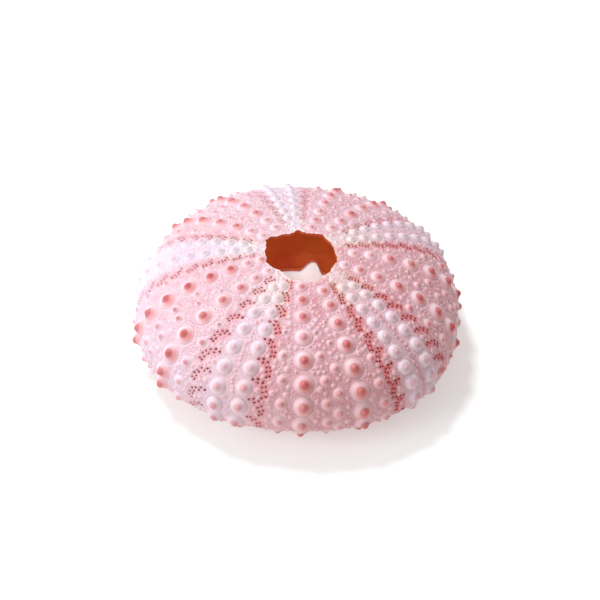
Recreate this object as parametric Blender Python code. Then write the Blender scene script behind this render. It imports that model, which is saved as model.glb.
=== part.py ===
"""Sea urchin shell: the bare, cleaned shell of a sea urchin, grown as one piece.

The shell is a flattened hollow dome, open at the crown and, more widely, at the mouth below. Ten
double rows of tubercles run over it like the meridians of a globe: five wide fields with large
tubercles between five narrow fields with smaller ones. All of it is one solid.

Everything is in metres, with +Z up. The origin is in the plane that the shell rests on, under the
middle of its outline.
"""

import math

import bmesh
import bpy
import numpy as np
from mathutils import Vector
from mathutils.geometry import delaunay_2d_cdt

# The body without its tubercles
BODY_RADIUS = 0.03465         # at the widest level
CROWN_HEIGHT = 0.0163         # from the widest level to where the crown would close
BELLY_DEPTH = 0.0073          # from the widest level down to the resting ring
CROWN_ROUNDNESS = 2.17        # exponent of the upper curve; 2 is an ellipse
BELLY_ROUNDNESS = 1.5         # exponent of the lower curve
RING_OUTER = 0.0220           # flat ring of the underside, which the shell rests on
# How the plan departs from a circle: waves around, share of the radius, and a crest in degrees
PLAN_WAVES = ((2, 0.0106, 21.0), (3, 0.0045, -25.3), (4, 0.0141, 40.4), (5, 0.0049, 35.0))
WALL_AT_CROWN = 0.0010
WALL_AT_BELLY = 0.0017

# The mouth: a round opening below, with a notch on each side of every narrow field
MOUTH_RADIUS = 0.0176
NOTCH_DEPTH = 0.0036
NOTCH_PLACE = 20.5            # degrees from the middle of the narrow field
NOTCH_HALF_WIDTH = 9.0        # degrees
LIP_RISE = 0.0010             # how far the mouth's edge turns up
LIP_WIDTH = 0.0016
LIP_WALL = 0.0012             # thickness of the shell at the mouth's edge

# The broken-out opening of the crown: degrees from the middle of the first wide field, and radius
CROWN_HOLE = (
    (0, 0.0085), (14, 0.0084), (27, 0.0080), (39, 0.0079), (50, 0.0076), (62, 0.0077), (79, 0.0072),
    (92, 0.0069), (106, 0.0070), (120, 0.0069), (133, 0.0072), (143, 0.0066), (155, 0.0061),
    (168, 0.0062), (177, 0.0071), (185, 0.0061), (195, 0.0061), (206, 0.0066), (216, 0.0070),
    (225, 0.0080), (235, 0.0080), (249, 0.0075), (263, 0.0074), (276, 0.0075), (284, 0.0079),
    (294, 0.0075), (304, 0.0073), (317, 0.0071), (332, 0.0081), (346, 0.0085))

# Where the fields lie: five wide ones, 72 degrees apart, and five narrow ones between them
FIRST_FIELD = math.radians(-77.5)
FIELD_STEP = math.radians(72)
WIDE_SHIFTS = (1.2, -0.7, -1.0, 0.3, -0.1)         # degrees that each wide field is off its place
NARROW_SHIFTS = (-0.4, 0.8, 0.0, -1.1, 1.0)
# The level of the uppermost tubercle of each row, as a share of the way from crown to widest level
WIDE_STARTS = ((0.167, 0.198), (0.159, 0.185), (0.176, 0.135), (0.158, 0.157), (0.140, 0.146))
NARROW_STARTS = ((0.216, 0.238), (0.199, 0.233), (0.222, 0.198), (0.214, 0.188), (0.194, 0.176))

# What grows from the crown to the widest level, as the factors of 1, level and level squared
WIDE_SPACING = (0.0063, 0.3839, -0.2608)           # from one tubercle of a row to the next, in levels
NARROW_SPACING = (0.0242, 0.1722, -0.0704)
WIDE_ROW = (0.00040, 0.01017, -0.00410)            # from the field's middle line to its rows
NARROW_ROW = (-0.00071, 0.00909, -0.00622)
WIDE_BASE = (0.00076, 0.00270, -0.00125)           # reach of a tubercle's base
NARROW_BASE = (0.00076, 0.00156, -0.00055)
SIDE_BASE = (0.00070, 0.00084, 0.0)
OUTER_SIDE = (0.00277, 0.00208, 0.0)               # from a row of the wide field to its outer neighbours
INNER_SIDE = 0.00125                               # from the middle line to the inner neighbours
SIDE_RAISE = 0.15             # how far the neighbours stand above a large tubercle, in steps of its row

WIDE_TIP = 0.00143            # height of a full-grown tubercle of the wide fields
NARROW_TIP = 0.00105
SIDE_TIP = 0.00080            # the same for the smaller ones beside them
TIP_GROWTH = 0.4              # exponent of the tips' growth from the crown down
BASE_SHRINK = 0.8             # exponent by which the bases shrink with the girth on the underside
FIRST_SIDE_LEVEL = 0.50       # side tubercles are left out above this level
LAST_GROWING_LEVEL = 0.93     # above it the distance between tubercles grows by a rule
BELLY_STEP = 0.0039           # distance between the first tubercles below it
BELLY_SHRINK = 0.94           # each next distance towards the mouth is shorter by this factor
RING_MARGIN = 0.0012          # least distance of a row's last tubercle from the flat ring
EDGE_GAP = 0.00016            # least distance between the bases of two tubercles
LEAST_BASE = 0.0007           # a tubercle with less room than this is left out

# Facets
KNOB_SIDES = 6
PLAIN_KNOB_SIDES = 5
SHOULDER_REACH = 0.52         # shares of base and height at which a rounded tubercle has a second ring
SHOULDER_HEIGHT = 0.62
RING_SIDES = 60               # corners of the flat ring's two edges
MOUTH_SIDES = 80
INNER_SIDES = 36              # corners around the plain inside
INNER_LEVELS = 8
FIRST_INNER_LEVEL = 0.33
LAST_INNER_LEVEL = 1.86
SHARP_ANGLE = math.radians(50)

SHELL_COLOUR = (0.82, 0.48, 0.47, 1.0)


def clear_scene():
    for item in list(bpy.data.objects):
        bpy.data.objects.remove(item, do_unlink=True)


def curve_point(level):
    """Radius and height of the body's outline: level 0 crown, 1 widest, 2 outer edge of the ring, 3 mouth."""
    if level <= 1:
        turn = max(level, 0) * math.pi / 2
        return (BODY_RADIUS * math.sin(turn) ** (2 / CROWN_ROUNDNESS),
                BELLY_DEPTH + CROWN_HEIGHT * max(math.cos(turn), 0) ** (2 / CROWN_ROUNDNESS))
    if level <= 2:
        turn = (level - 1) * math.pi / 2
        reach = BODY_RADIUS - RING_OUTER
        return (RING_OUTER + reach * max(math.cos(turn), 0) ** (2 / BELLY_ROUNDNESS),
                BELLY_DEPTH * (1 - math.sin(turn) ** (2 / BELLY_ROUNDNESS)))
    return RING_OUTER + (MOUTH_RADIUS - RING_OUTER) * (level - 2), 0.0


class Meridian:
    """The body's outline with its length, its outward direction and the stretch of its flat map."""

    def __init__(self):
        self.levels = np.linspace(0.04, 3.0, 4000)
        points = np.array([curve_point(level) for level in self.levels])
        self.radius = points[:, 0]
        self.height = points[:, 1]
        steps = np.hypot(np.diff(self.radius), np.diff(self.height))
        self.length = np.concatenate(([0.0], np.cumsum(steps)))
        middle = (self.radius[1:] + self.radius[:-1]) / 2
        self.stretch = np.concatenate(([0.0], np.cumsum(steps / middle)))
        along_radius = np.gradient(self.radius, self.length)
        along_height = np.gradient(self.height, self.length)
        size = np.hypot(along_radius, along_height)
        self.out_radius = -along_height / size
        self.out_height = along_radius / size

    def at(self, level, values):
        return float(np.interp(level, self.levels, values))

    def level_at_length(self, length):
        return float(np.interp(length, self.length, self.levels))

    def level_at_radius(self, radius):
        upper = self.levels <= 1
        return float(np.interp(radius, self.radius[upper], self.levels[upper]))

    def level_below_at_radius(self, radius):
        lower = self.levels > 1
        return float(np.interp(-radius, -self.radius[lower], self.levels[lower]))


MERIDIAN = Meridian()


def wall(level):
    """Thickness of the shell, which grows from the crown down."""
    return WALL_AT_CROWN + (WALL_AT_BELLY - WALL_AT_CROWN) * min(level, 1.0)


def mouth_radius(turn):
    """Radius of the mouth's edge at a turn about the axis."""
    depth = 0.0
    for side in (-1, 1):
        notch = FIRST_FIELD + 0.5 * FIELD_STEP + side * math.radians(NOTCH_PLACE)
        away = (turn - notch + FIELD_STEP / 2) % FIELD_STEP - FIELD_STEP / 2
        share = min(abs(math.degrees(away)) / NOTCH_HALF_WIDTH, 1.0)
        depth = max(depth, NOTCH_DEPTH * math.cos(share * math.pi / 2) ** 2)
    return MOUTH_RADIUS + depth


def place(level, turn, lift):
    """The point over the body's outline at a level and a turn about the axis, lifted off the body."""
    radius = MERIDIAN.at(level, MERIDIAN.radius)
    height = MERIDIAN.at(level, MERIDIAN.height)
    if level > 1:
        height += LIP_RISE * max(0.0, 1 - (radius - mouth_radius(turn)) / LIP_WIDTH) ** 1.5
    radius += lift * MERIDIAN.at(level, MERIDIAN.out_radius)
    height += lift * MERIDIAN.at(level, MERIDIAN.out_height)
    uneven = sum(share * math.cos(waves * (turn - math.radians(crest))) for waves, share, crest in PLAN_WAVES)
    radius *= 1 + uneven * (radius / BODY_RADIUS) ** 2
    return Vector((radius * math.cos(turn), radius * math.sin(turn), max(height, 0.0)))


def flat(level, turn):
    """The same point on a flat map that keeps small shapes, crown in the middle and mouth outside."""
    away = math.exp(MERIDIAN.at(level, MERIDIAN.stretch))
    return Vector((away * math.cos(turn), away * math.sin(turn)))


class Tubercle:
    """One knob: where it stands, how far its base reaches, how high it is and how it is faceted."""

    def __init__(self, level, turn, base, tip, rounded):
        self.level = level
        self.turn = turn
        self.base = base
        self.tip = tip
        self.rounded = rounded
        self.centre = place(level, turn, 0.0)


def grown(factors, level):
    """A measure that changes from the crown to the widest level and stays the same below."""
    upper = min(level, 1.0)
    return factors[0] + factors[1] * upper + factors[2] * upper ** 2


def around(level):
    """How much the body's girth at a level is of its greatest, for what narrows with it below."""
    return 1.0 if level <= 1 else MERIDIAN.at(level, MERIDIAN.radius) / BODY_RADIUS


def row_levels(start, spacing):
    """The levels of one row's tubercles, from the crown down to the flat ring."""
    levels = [start]
    while levels[-1] < LAST_GROWING_LEVEL:
        levels.append(levels[-1] + grown(spacing, levels[-1]))
    length = MERIDIAN.at(levels[-1], MERIDIAN.length)
    step = BELLY_STEP
    last = MERIDIAN.at(2.0, MERIDIAN.length) - RING_MARGIN
    while length + step < last:
        length += step
        levels.append(MERIDIAN.level_at_length(length))
        step *= BELLY_SHRINK
    return levels


def knob_tip(full_height, level):
    return full_height * min(level, 1.0) ** TIP_GROWTH * around(level)


def knob_base(factors, level):
    return grown(factors, level) * around(level) ** BASE_SHRINK


def turned(field_turn, sideways, level):
    return field_turn + sideways / MERIDIAN.at(level, MERIDIAN.radius)


def rows(starts, shifts, first_middle, spacing):
    """The middle line, the side and the levels of every row of one kind of field."""
    for field in range(5):
        middle = first_middle + FIELD_STEP * field + math.radians(shifts[field])
        for side, start in zip((-1, 1), starts[field]):
            yield middle, side, row_levels(start, spacing)


def wide_rows():
    return rows(WIDE_STARTS, WIDE_SHIFTS, FIRST_FIELD, WIDE_SPACING)


def narrow_rows():
    return rows(NARROW_STARTS, NARROW_SHIFTS, FIRST_FIELD + 0.5 * FIELD_STEP, NARROW_SPACING)


def wide_tubercles():
    """The two rows of large tubercles of each wide field."""
    found = []
    for middle, side, levels in wide_rows():
        for level in levels:
            turn = turned(middle, side * grown(WIDE_ROW, level) * around(level), level)
            tip = knob_tip(WIDE_TIP, level)
            found.append(Tubercle(level, turn, knob_base(WIDE_BASE, level), tip, level > 0.35))
    return found


def narrow_tubercles():
    """The two rows of smaller tubercles of each narrow field."""
    found = []
    for middle, side, levels in narrow_rows():
        for level in levels:
            turn = turned(middle, side * grown(NARROW_ROW, level) * around(level), level)
            tip = knob_tip(NARROW_TIP, level)
            found.append(Tubercle(level, turn, knob_base(NARROW_BASE, level), tip, 0.4 < level < 1.3))
    return found


def side_tubercles():
    """Smaller tubercles on both sides of the large ones, lower down on the shell."""
    found = []
    for middle, side, levels in wide_rows():
        for level in levels:
            if level < FIRST_SIDE_LEVEL:
                continue
            raised = level - SIDE_RAISE * grown(WIDE_SPACING, level)
            outer = grown(WIDE_ROW, level) + grown(OUTER_SIDE, level)
            for sideways in (INNER_SIDE, outer):
                turn = turned(middle, side * sideways * around(level), raised)
                tip = SIDE_TIP * around(raised)
                found.append(Tubercle(raised, turn, knob_base(SIDE_BASE, raised), tip, False))
    return found


def hole_level(turn):
    """Level of the crown opening's edge at a turn about the axis."""
    degrees = math.degrees(turn - FIRST_FIELD) % 360
    angles = [angle for angle, radius in CROWN_HOLE] + [360]
    radii = [radius for angle, radius in CROWN_HOLE] + [CROWN_HOLE[0][1]]
    return MERIDIAN.level_at_radius(float(np.interp(degrees, angles, radii)))


def fit_together(candidates):
    """Keeps each tubercle's base clear of those placed before it and of the openings' edges."""
    kept = []
    for knob in candidates:
        length = MERIDIAN.at(knob.level, MERIDIAN.length)
        edges = [hole_level(knob.turn + swing) for swing in (-0.15, 0, 0.15)]
        hole = MERIDIAN.at(max(edges), MERIDIAN.length)
        ring = MERIDIAN.at(2.0, MERIDIAN.length)
        reach = min(knob.base, length - hole - EDGE_GAP, ring - length - EDGE_GAP)
        for other in kept:
            distance = (knob.centre - other.centre).length
            if distance < knob.base + other.base + EDGE_GAP:
                reach = min(reach, max(distance - other.base - EDGE_GAP, (distance - EDGE_GAP) / 2))
                if distance - reach - EDGE_GAP < other.base:
                    other.base = distance - reach - EDGE_GAP
        if reach > LEAST_BASE:
            knob.base = reach
            kept.append(knob)
    return kept


def ring_of(knob, sides, reach):
    """Levels and turns of the corners of a ring about a tubercle."""
    length = MERIDIAN.at(knob.level, MERIDIAN.length)
    radius = MERIDIAN.at(knob.level, MERIDIAN.radius)
    corners = []
    for corner in range(sides):
        angle = math.tau * (corner + 0.5) / sides
        level = MERIDIAN.level_at_length(length + reach * math.sin(angle))
        corners.append((level, knob.turn + reach * math.cos(angle) / radius))
    return corners


class Sheet:
    """Points on the flat map with their places in space, and the edges that have to stay."""

    def __init__(self):
        self.map_points = []
        self.places = []
        self.edges = []

    def add(self, level, turn, lift=0.0):
        self.map_points.append(flat(level, turn))
        self.places.append(place(level, turn, lift))
        return len(self.places) - 1

    def add_loop(self, corners, lift=0.0):
        loop = [self.add(level, turn, lift) for level, turn in corners]
        self.edges.extend(zip(loop, loop[1:] + loop[:1]))
        return loop

    def triangles(self, hole_loop, mouth_loop):
        """Triangles over all the points, without those that lie in one of the two openings."""
        made = delaunay_2d_cdt(self.map_points, self.edges, [], 0, 1e-7)
        corners, faces, sources = made[0], made[2], made[3]
        if len(corners) != len(self.places):
            raise RuntimeError("points of the shell's surface coincide or their edges cross")
        hole = [self.map_points[index] for index in hole_loop]
        mouth = [self.map_points[index] for index in mouth_loop]
        kept = []
        for face in faces:
            middle = sum((corners[corner] for corner in face), Vector((0, 0))) / 3
            if inside(middle, mouth) and not inside(middle, hole):
                kept.append([sources[corner][0] for corner in face])
        return kept


def inside(point, outline):
    """Whether a point of the flat map is inside a closed outline."""
    within = False
    for start, end in zip(outline, outline[1:] + outline[:1]):
        if (start.y > point.y) != (end.y > point.y):
            crossing = start.x + (point.y - start.y) * (end.x - start.x) / (end.y - start.y)
            if point.x < crossing:
                within = not within
    return within


def circle(level, sides):
    return [(level, math.tau * corner / sides) for corner in range(sides)]


def hole_corners():
    corners = []
    for angle, radius in CROWN_HOLE:
        corners.append((MERIDIAN.level_at_radius(radius), FIRST_FIELD + math.radians(angle)))
    return corners


def mouth_corners():
    """Corners of the mouth's edge; eight to each notch and the stretches beside it."""
    corners = []
    for corner in range(MOUTH_SIDES):
        turn = FIRST_FIELD + 0.5 * FIELD_STEP + math.radians(NOTCH_PLACE) + math.tau * corner / MOUTH_SIDES
        corners.append((MERIDIAN.level_below_at_radius(mouth_radius(turn)), turn))
    return corners


def outer_sheet(knobs):
    """The outside: the two openings' edges, the flat ring and every tubercle."""
    sheet = Sheet()
    hole = sheet.add_loop(hole_corners())
    sheet.add_loop(circle(2.0, RING_SIDES))
    mouth = sheet.add_loop(mouth_corners())
    for level, turn in circle(MERIDIAN.level_below_at_radius(MOUTH_RADIUS + LIP_WIDTH), RING_SIDES):
        if mouth_radius(turn) < MOUTH_RADIUS + 0.5 * LIP_WIDTH:
            sheet.add(level, turn)
    for knob in knobs:
        sheet.add_loop(ring_of(knob, KNOB_SIDES if knob.rounded else PLAIN_KNOB_SIDES, knob.base))
        if knob.rounded:
            for level, turn in ring_of(knob, KNOB_SIDES, SHOULDER_REACH * knob.base):
                sheet.add(level, turn, SHOULDER_HEIGHT * knob.tip)
        sheet.add(knob.level, knob.turn, knob.tip)
    return sheet, hole, mouth


def inner_sheet():
    """The plain inside, one wall thickness within the body's outline."""
    sheet = Sheet()
    hole = []
    for level, turn in hole_corners():
        hole.append(sheet.add(level, turn, -wall(level)))
    sheet.edges.extend(zip(hole, hole[1:] + hole[:1]))
    mouth = sheet.add_loop(mouth_corners(), -LIP_WALL)
    first = MERIDIAN.at(FIRST_INNER_LEVEL, MERIDIAN.length)
    last = MERIDIAN.at(LAST_INNER_LEVEL, MERIDIAN.length)
    for step in range(INNER_LEVELS):
        level = MERIDIAN.level_at_length(first + (last - first) * step / (INNER_LEVELS - 1))
        for corner in range(INNER_SIDES):
            turn = math.tau * (corner + 0.5 * (step % 2)) / INNER_SIDES
            sheet.add(level, turn, -wall(level))
    return sheet, hole, mouth


def rim_faces(outer_loop, inner_loop):
    faces = []
    for index, corner in enumerate(outer_loop):
        following = (index + 1) % len(outer_loop)
        faces.append([corner, outer_loop[following], inner_loop[following]])
        faces.append([corner, inner_loop[following], inner_loop[index]])
    return faces


def centred(places):
    """The points moved sideways, so that the middle of their outline is over the origin."""
    middle_x = (min(point.x for point in places) + max(point.x for point in places)) / 2
    middle_y = (min(point.y for point in places) + max(point.y for point in places)) / 2
    return [point - Vector((middle_x, middle_y, 0)) for point in places]


def build_shell():
    knobs = fit_together(wide_tubercles() + narrow_tubercles() + side_tubercles())
    outer, outer_hole, outer_mouth = outer_sheet(knobs)
    inner, inner_hole, inner_mouth = inner_sheet()
    shift = len(outer.places)
    faces = outer.triangles(outer_hole, outer_mouth)
    for face in inner.triangles(inner_hole, inner_mouth):
        faces.append([corner + shift for corner in reversed(face)])
    faces += rim_faces(outer_hole, [corner + shift for corner in inner_hole])
    faces += rim_faces(outer_mouth, [corner + shift for corner in inner_mouth])
    mesh = bpy.data.meshes.new("shell")
    mesh.from_pydata(centred(outer.places + inner.places), [], faces)
    work = bmesh.new()
    work.from_mesh(mesh)
    bmesh.ops.recalc_face_normals(work, faces=work.faces)
    work.to_mesh(mesh)
    work.free()
    mesh.shade_smooth()
    mesh.set_sharp_from_angle(angle=SHARP_ANGLE)
    shell = bpy.data.objects.new("shell", mesh)
    bpy.context.scene.collection.objects.link(shell)
    return shell


def shell_material():
    material = bpy.data.materials.new("shell_lime")
    material.use_nodes = True
    surface = material.node_tree.nodes["Principled BSDF"]
    surface.inputs["Base Color"].default_value = SHELL_COLOUR
    surface.inputs["Roughness"].default_value = 0.5
    surface.inputs["Metallic"].default_value = 0.0
    return material


clear_scene()
build_shell().data.materials.append(shell_material())
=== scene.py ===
import math
from itertools import product

import bpy
import numpy as np
from mathutils import Matrix, Vector
from mathutils.geometry import delaunay_2d_cdt


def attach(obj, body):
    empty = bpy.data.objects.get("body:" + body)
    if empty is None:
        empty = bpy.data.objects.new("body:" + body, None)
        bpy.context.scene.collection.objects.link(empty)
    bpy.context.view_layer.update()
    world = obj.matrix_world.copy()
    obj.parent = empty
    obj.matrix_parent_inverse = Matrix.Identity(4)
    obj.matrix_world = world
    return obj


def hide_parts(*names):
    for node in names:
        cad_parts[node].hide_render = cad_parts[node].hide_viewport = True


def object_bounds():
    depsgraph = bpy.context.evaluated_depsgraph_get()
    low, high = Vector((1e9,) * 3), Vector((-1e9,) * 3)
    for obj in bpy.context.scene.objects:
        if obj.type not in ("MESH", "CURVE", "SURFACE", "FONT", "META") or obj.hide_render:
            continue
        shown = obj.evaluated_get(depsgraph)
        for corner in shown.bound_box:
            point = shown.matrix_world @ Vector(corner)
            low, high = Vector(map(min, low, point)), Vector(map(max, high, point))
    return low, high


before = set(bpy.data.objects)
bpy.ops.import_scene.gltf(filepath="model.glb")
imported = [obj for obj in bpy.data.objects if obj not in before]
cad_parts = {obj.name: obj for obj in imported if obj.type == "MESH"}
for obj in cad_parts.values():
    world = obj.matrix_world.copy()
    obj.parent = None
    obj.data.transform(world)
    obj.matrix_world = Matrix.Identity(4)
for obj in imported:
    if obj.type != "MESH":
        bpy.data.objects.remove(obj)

cad_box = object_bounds()
MM = 0.001
SEED = 11

# The looks of the shell: the body, tubercles and pores of the solid with finer steps, its colours,
# and the camera, lights and floor

# The body without its tubercles, as in the solid
BODY_RADIUS = 34.65 * MM
CROWN_HEIGHT = 16.3 * MM
BELLY_DEPTH = 7.3 * MM
CROWN_ROUNDNESS = 2.17
BELLY_ROUNDNESS = 1.5
RING_OUTER = 22.0 * MM
PLAN_WAVES = ((2, 0.0106, 21.0), (3, 0.0045, -25.3), (4, 0.0141, 40.4), (5, 0.0049, 35.0))
WALL_AT_CROWN = 1.0 * MM
WALL_AT_BELLY = 1.7 * MM
RING_RECESS = 0.30 * MM  # ground of the underside above the resting plane, where knobs reach it

# The mouth, with a notch on each side of every narrow field
MOUTH_RADIUS = 17.6 * MM
NOTCH_DEPTH = 3.6 * MM
NOTCH_PLACE = 20.5  # degrees from the middle of the narrow field
NOTCH_HALF_WIDTH = 9.0
LIP_RISE = 1.0 * MM
LIP_WIDTH = 1.6 * MM
LIP_WALL = 1.2 * MM

# Crown opening: degrees from the middle of the first wide field, and radius in mm
CROWN_HOLE = (
    (0, 8.5), (14, 8.4), (27, 8.0), (39, 7.9), (50, 7.6), (62, 7.7), (79, 7.2), (92, 6.9), (106, 7.0),
    (120, 6.9), (133, 7.2), (143, 6.6), (155, 6.1), (168, 6.2), (177, 7.1), (185, 6.1), (195, 6.1),
    (206, 6.6), (216, 7.0), (225, 8.0), (235, 8.0), (249, 7.5), (263, 7.4), (276, 7.5), (284, 7.9),
    (294, 7.5), (304, 7.3), (317, 7.1), (332, 8.1), (346, 8.5))
HOLE_SIDES = 220
MOUTH_SIDES = 360
RIM_WAVES = ((11, 0.07), (19, 0.05), (31, 0.045), (47, 0.03))  # waves round the edge, and mm
RIM_CHIPS = 16
RIM_WALL = 0.65 * MM
RIM_ANGLE = math.radians(68)

# Where the fields lie: five wide ones, 72 degrees apart, and five narrow ones between them
FIRST_FIELD = math.radians(-77.5)
FIELD_STEP = math.radians(72)
ROWS = list(product(range(5), (-1, 1)))  # a field's number, and the side of its middle line
WIDE_SHIFTS = (1.2, -0.7, -1.0, 0.3, -0.1)  # degrees that each wide field is off its place
NARROW_SHIFTS = (-0.4, 0.8, 0.0, -1.1, 1.0)
# The level of the uppermost tubercle of each row, as a share of the way from crown to widest level
WIDE_STARTS = ((0.167, 0.198), (0.159, 0.185), (0.176, 0.135), (0.158, 0.157), (0.140, 0.146))
NARROW_STARTS = ((0.216, 0.238), (0.199, 0.233), (0.222, 0.198), (0.214, 0.188), (0.194, 0.176))
NARROW_WIDENING = (1.02, 1.0, 1.0, 1.0, 1.2)  # of the distance between tubercles, by field
LAST_GROWING_LEVEL = 0.93  # above it the distance between tubercles grows by a rule
BELLY_STEP = 3.9 * MM
BELLY_SHRINK = 0.94

# What grows from the crown to the widest level, as the factors of 1, level and level squared
WIDE_SPACING = (0.0063, 0.3839, -0.2608)  # from one tubercle of a row to the next, in levels
NARROW_SPACING = (0.0242, 0.1722, -0.0704)
WIDE_ROW = (0.4, 10.17, -4.1)  # from the field's middle line to its rows, in mm
NARROW_ROW = (-0.71, 9.09, -6.22)
WIDE_BASE = (0.88, 3.30, -2.02)  # reach of a tubercle's base, in mm
NARROW_BASE = (0.84, 1.55, -0.60)
SIDE_BASE = 1.42 * MM
BASE_SHRINK = 0.8  # exponent by which the bases shrink with the girth on the underside

WIDE_TIP = 1.50 * MM
RIDGE_DROP = 0.13  # share by which the tubercles are lower where the body is widest
RIDGE_REACH = 4 * MM
NARROW_TIP = 1.15 * MM
NARROW_SIZES = (1.0, 0.94, 0.84, 0.92, 1.06)  # by field
LOWER_CORAL = (0.2, 0.2, 0.2, 0.2, 0.55)  # how coral the lower nipples of each narrow field are
SIDE_TIP = 0.80 * MM
FIRST_SIDE_LEVEL = 0.30  # side tubercles are left out above this level
SIDE_RAISE = 0.15  # how far they stand above a large tubercle, in steps of its row
INNER_SIDE = 1.2 * MM  # from the field's middle line to the inner ones
SIDE_STRAY = 0.12 * MM
CLEAR_REACH = 1.06  # ground that a large tubercle keeps free, in shares of its base
# Knobs in the crooks of the pore arcs: drop in steps of the row, degrees from the middle, base in mm
CROOK_KNOBS = ((-0.02, 9.6, 0.62), (0.30, 10.4, 0.52), (0.1, 11.5, 0.4))

# How coral each nipple of the wide fields is, by field and row, from the crown down
TIP_STRENGTHS = (
    ((0.45, 0.7, 0.6, 0.3, 0.8, 1.0, 0.75, 0.55), (0.45, 0.55, 0.7, 0.8, 0.8, 0.9, 0.9)),
    ((0.1, 0.45, 0.4, 0.7, 0.85, 0.85, 1.0), (0.15, 0.15, 0.6, 0.6, 0.85, 0.9, 1.0)),
    ((0.3, 0.5, 0.9, 0.5, 0.8, 0.9), (0.4, 0.5, 0.3, 0.5, 0.6, 0.8)),
    ((0.2, 0.25, 0.6, 0.6, 0.8), (0.15, 0.2, 0.6, 0.6, 0.8)),
    ((0.45, 0.25, 0.9, 1.0, 1.0, 1.0), (0.1, 0.3, 0.6, 0.6, 0.8, 1.0, 1.0)))
USUAL_STRENGTH = 0.9
HALO_AZIMUTH = math.radians(142)  # direction the light comes from: the bosses get painted coral shade on the side away from it

# Kinds of feature on the surface
WIDE, NARROW, SIDE, SMALL, PORE = range(5)
# Rings of points about one feature of each kind: share of the base radius and number of points
RINGS = {
    WIDE: ((1.24, 24), (1.08, 24), (1.0, 24), (0.92, 24), (0.78, 20), (0.62, 18), (0.50, 16), (0.42, 16),
           (0.35, 12), (0.18, 7)),
    NARROW: ((1.22, 20), (1.08, 20), (0.99, 20), (0.88, 18), (0.70, 14), (0.54, 12), (0.44, 11), (0.36, 9),
             (0.18, 5)),
    SIDE: ((1.15, 14), (1.03, 14), (0.92, 13), (0.74, 11), (0.54, 10), (0.40, 9), (0.20, 5)),
    SMALL: ((1.0, 9), (0.62, 6)),
    PORE: ((1.35, 6), (0.75, 5)),
}
FILL_STEP = 0.62 * MM  # between the points of the bare ground
FILL_STEP_BELOW = 1.35 * FILL_STEP
FILL_STRAY = 0.08 * MM
INNER_STEP = 1.5 * MM
INNER_ROWS = 46

# Granules: rings of a granule as share of its radius, share of its height and number of points
GRANULE_RINGS = ((1.0, 0.0, 7), (0.70, 0.64, 5))
GRANULE_TOP = ((0.0, 1.0, 1),)
GRANULE_TRIES = 110000
GRANULE_HEIGHT = 0.40  # share of its radius
GRANULE_SINK = 0.06 * MM
LARGEST_GRANULE = 0.31  # radius in mm, and how much smaller the last ones are
GRANULE_RANGE = 0.17
WIDE_CIRCLE_GRANULE = 0.31 * MM  # those in circles about the tubercles of the wide fields' rows
CIRCLE_GRANULE = 0.24 * MM

# Pore arcs: each narrow-field tubercle has one, from above it outwards and down the field's margin
# Degrees of an arc's first and last pair from the field's middle, at these levels, by field and side
ARC_LEVELS = (0.2, 0.45, 0.7, 1.0)
ARC_FIRST = (((10.5, 11.4, 10.2, 9.5), (9.2, 9.3, 9.4, 9.2)), (4 * (11.4,), 4 * (9.1,)),
             (4 * (11.6,), 4 * (9.4,)), (4 * (10.5,), 4 * (12.2,)),
             ((10.5, 10.2, 9.2, 8.3), (9.5, 9.2, 8.9, 8.9)))
ARC_LAST = (((13.5, 14.7, 13.2, 11.8), (11.6, 13.2, 13.6, 12.4)), (4 * (14.0,), 4 * (11.7,)),
            (4 * (14.2,), 4 * (11.8,)), (4 * (12.9,), 4 * (14.8,)),
            ((13.8, 14.6, 13.6, 11.8), (13.6, 13.4, 13.2, 12.6)))
ARC_SIZES = (0.80, 0.85, 0.80, 0.80, 1.0)
ARC_TOP = -0.54  # shares of the distance between tubercles, from the tubercle
ARC_DROPS = ((0.90, 0.86), (0.86, 0.86), (0.90, 0.90), (0.84, 0.84), (0.70, 0.80))  # by field and side
FIRST_SPREAD = 1.00 * MM  # between the two pores of an arc's first pair
LAST_SPREAD = 0.68 * MM
PAIR_SLANT = 0.22 * MM
PORE_BASE = 0.215 * MM
PORE_STRAY = 0.075 * MM
PORE_DEPTH = 0.24 * MM
LONG_ARC_RADIUS = 24 * MM  # of the body, from where the longer arcs have a fifth pair

# Shares of the base radius and of the whole height, for boss and nipple of each kind
NIPPLE = {WIDE: (0.37, 0.64), NARROW: (0.44, 0.78), SIDE: (0.40, 0.66)}
BELL = {WIDE: 1.40, NARROW: 1.05, SIDE: 1.20}  # above 1 a boss runs out into the ground like a bell
AREOLE = {WIDE: 1.24, NARROW: 1.20, SIDE: 1.15}  # edge of the flat pale ring about a boss
GROOVE_DEPTH = 0.07 * MM
GROOVE_PLACE = 0.03 * MM  # outside the base's edge
GROOVE_WIDTH = 0.09 * MM
HALO_SHIFT = 0.36  # of the coral halo off the nipple, away from the light as painted shade, in shares of the base

# Small knobs in the free ground of the wide fields
SMALL_TRIES = ((0.85, 1500), (0.62, 5000), (0.48, 7000))  # radius in mm, and number of tries

# Colours, and what they depend on
GROUND_PINK = (0.56, 0.24, 0.265, 1)
GROUND_PALE = (0.64, 0.385, 0.41, 1)
GROUND_NARROW = (0.64, 0.45, 0.50, 1)
BOSS_WHITE = (0.71, 0.55, 0.58, 1)
BOSS_PINK = (0.64, 0.33, 0.34, 1)
AREOLE_PALE = (0.68, 0.49, 0.53, 1)
NARROW_WHITE = (0.66, 0.55, 0.60, 1)
CORAL = (0.52, 0.050, 0.032, 1)
CORAL_DARK = (0.34, 0.030, 0.030, 1)
CORAL_PALE = (0.62, 0.26, 0.27, 1)
HALO_CORAL = (0.61, 0.14, 0.12, 1)
# Darker ring at the nipple's neck: partly pigment, partly painted shade in the crease
NECK_RED = (0.36, 0.04, 0.04, 1)
NECK_GREY = (0.36, 0.23, 0.26, 1)
BAND_RED = (0.54, 0.10, 0.10, 1)
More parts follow.
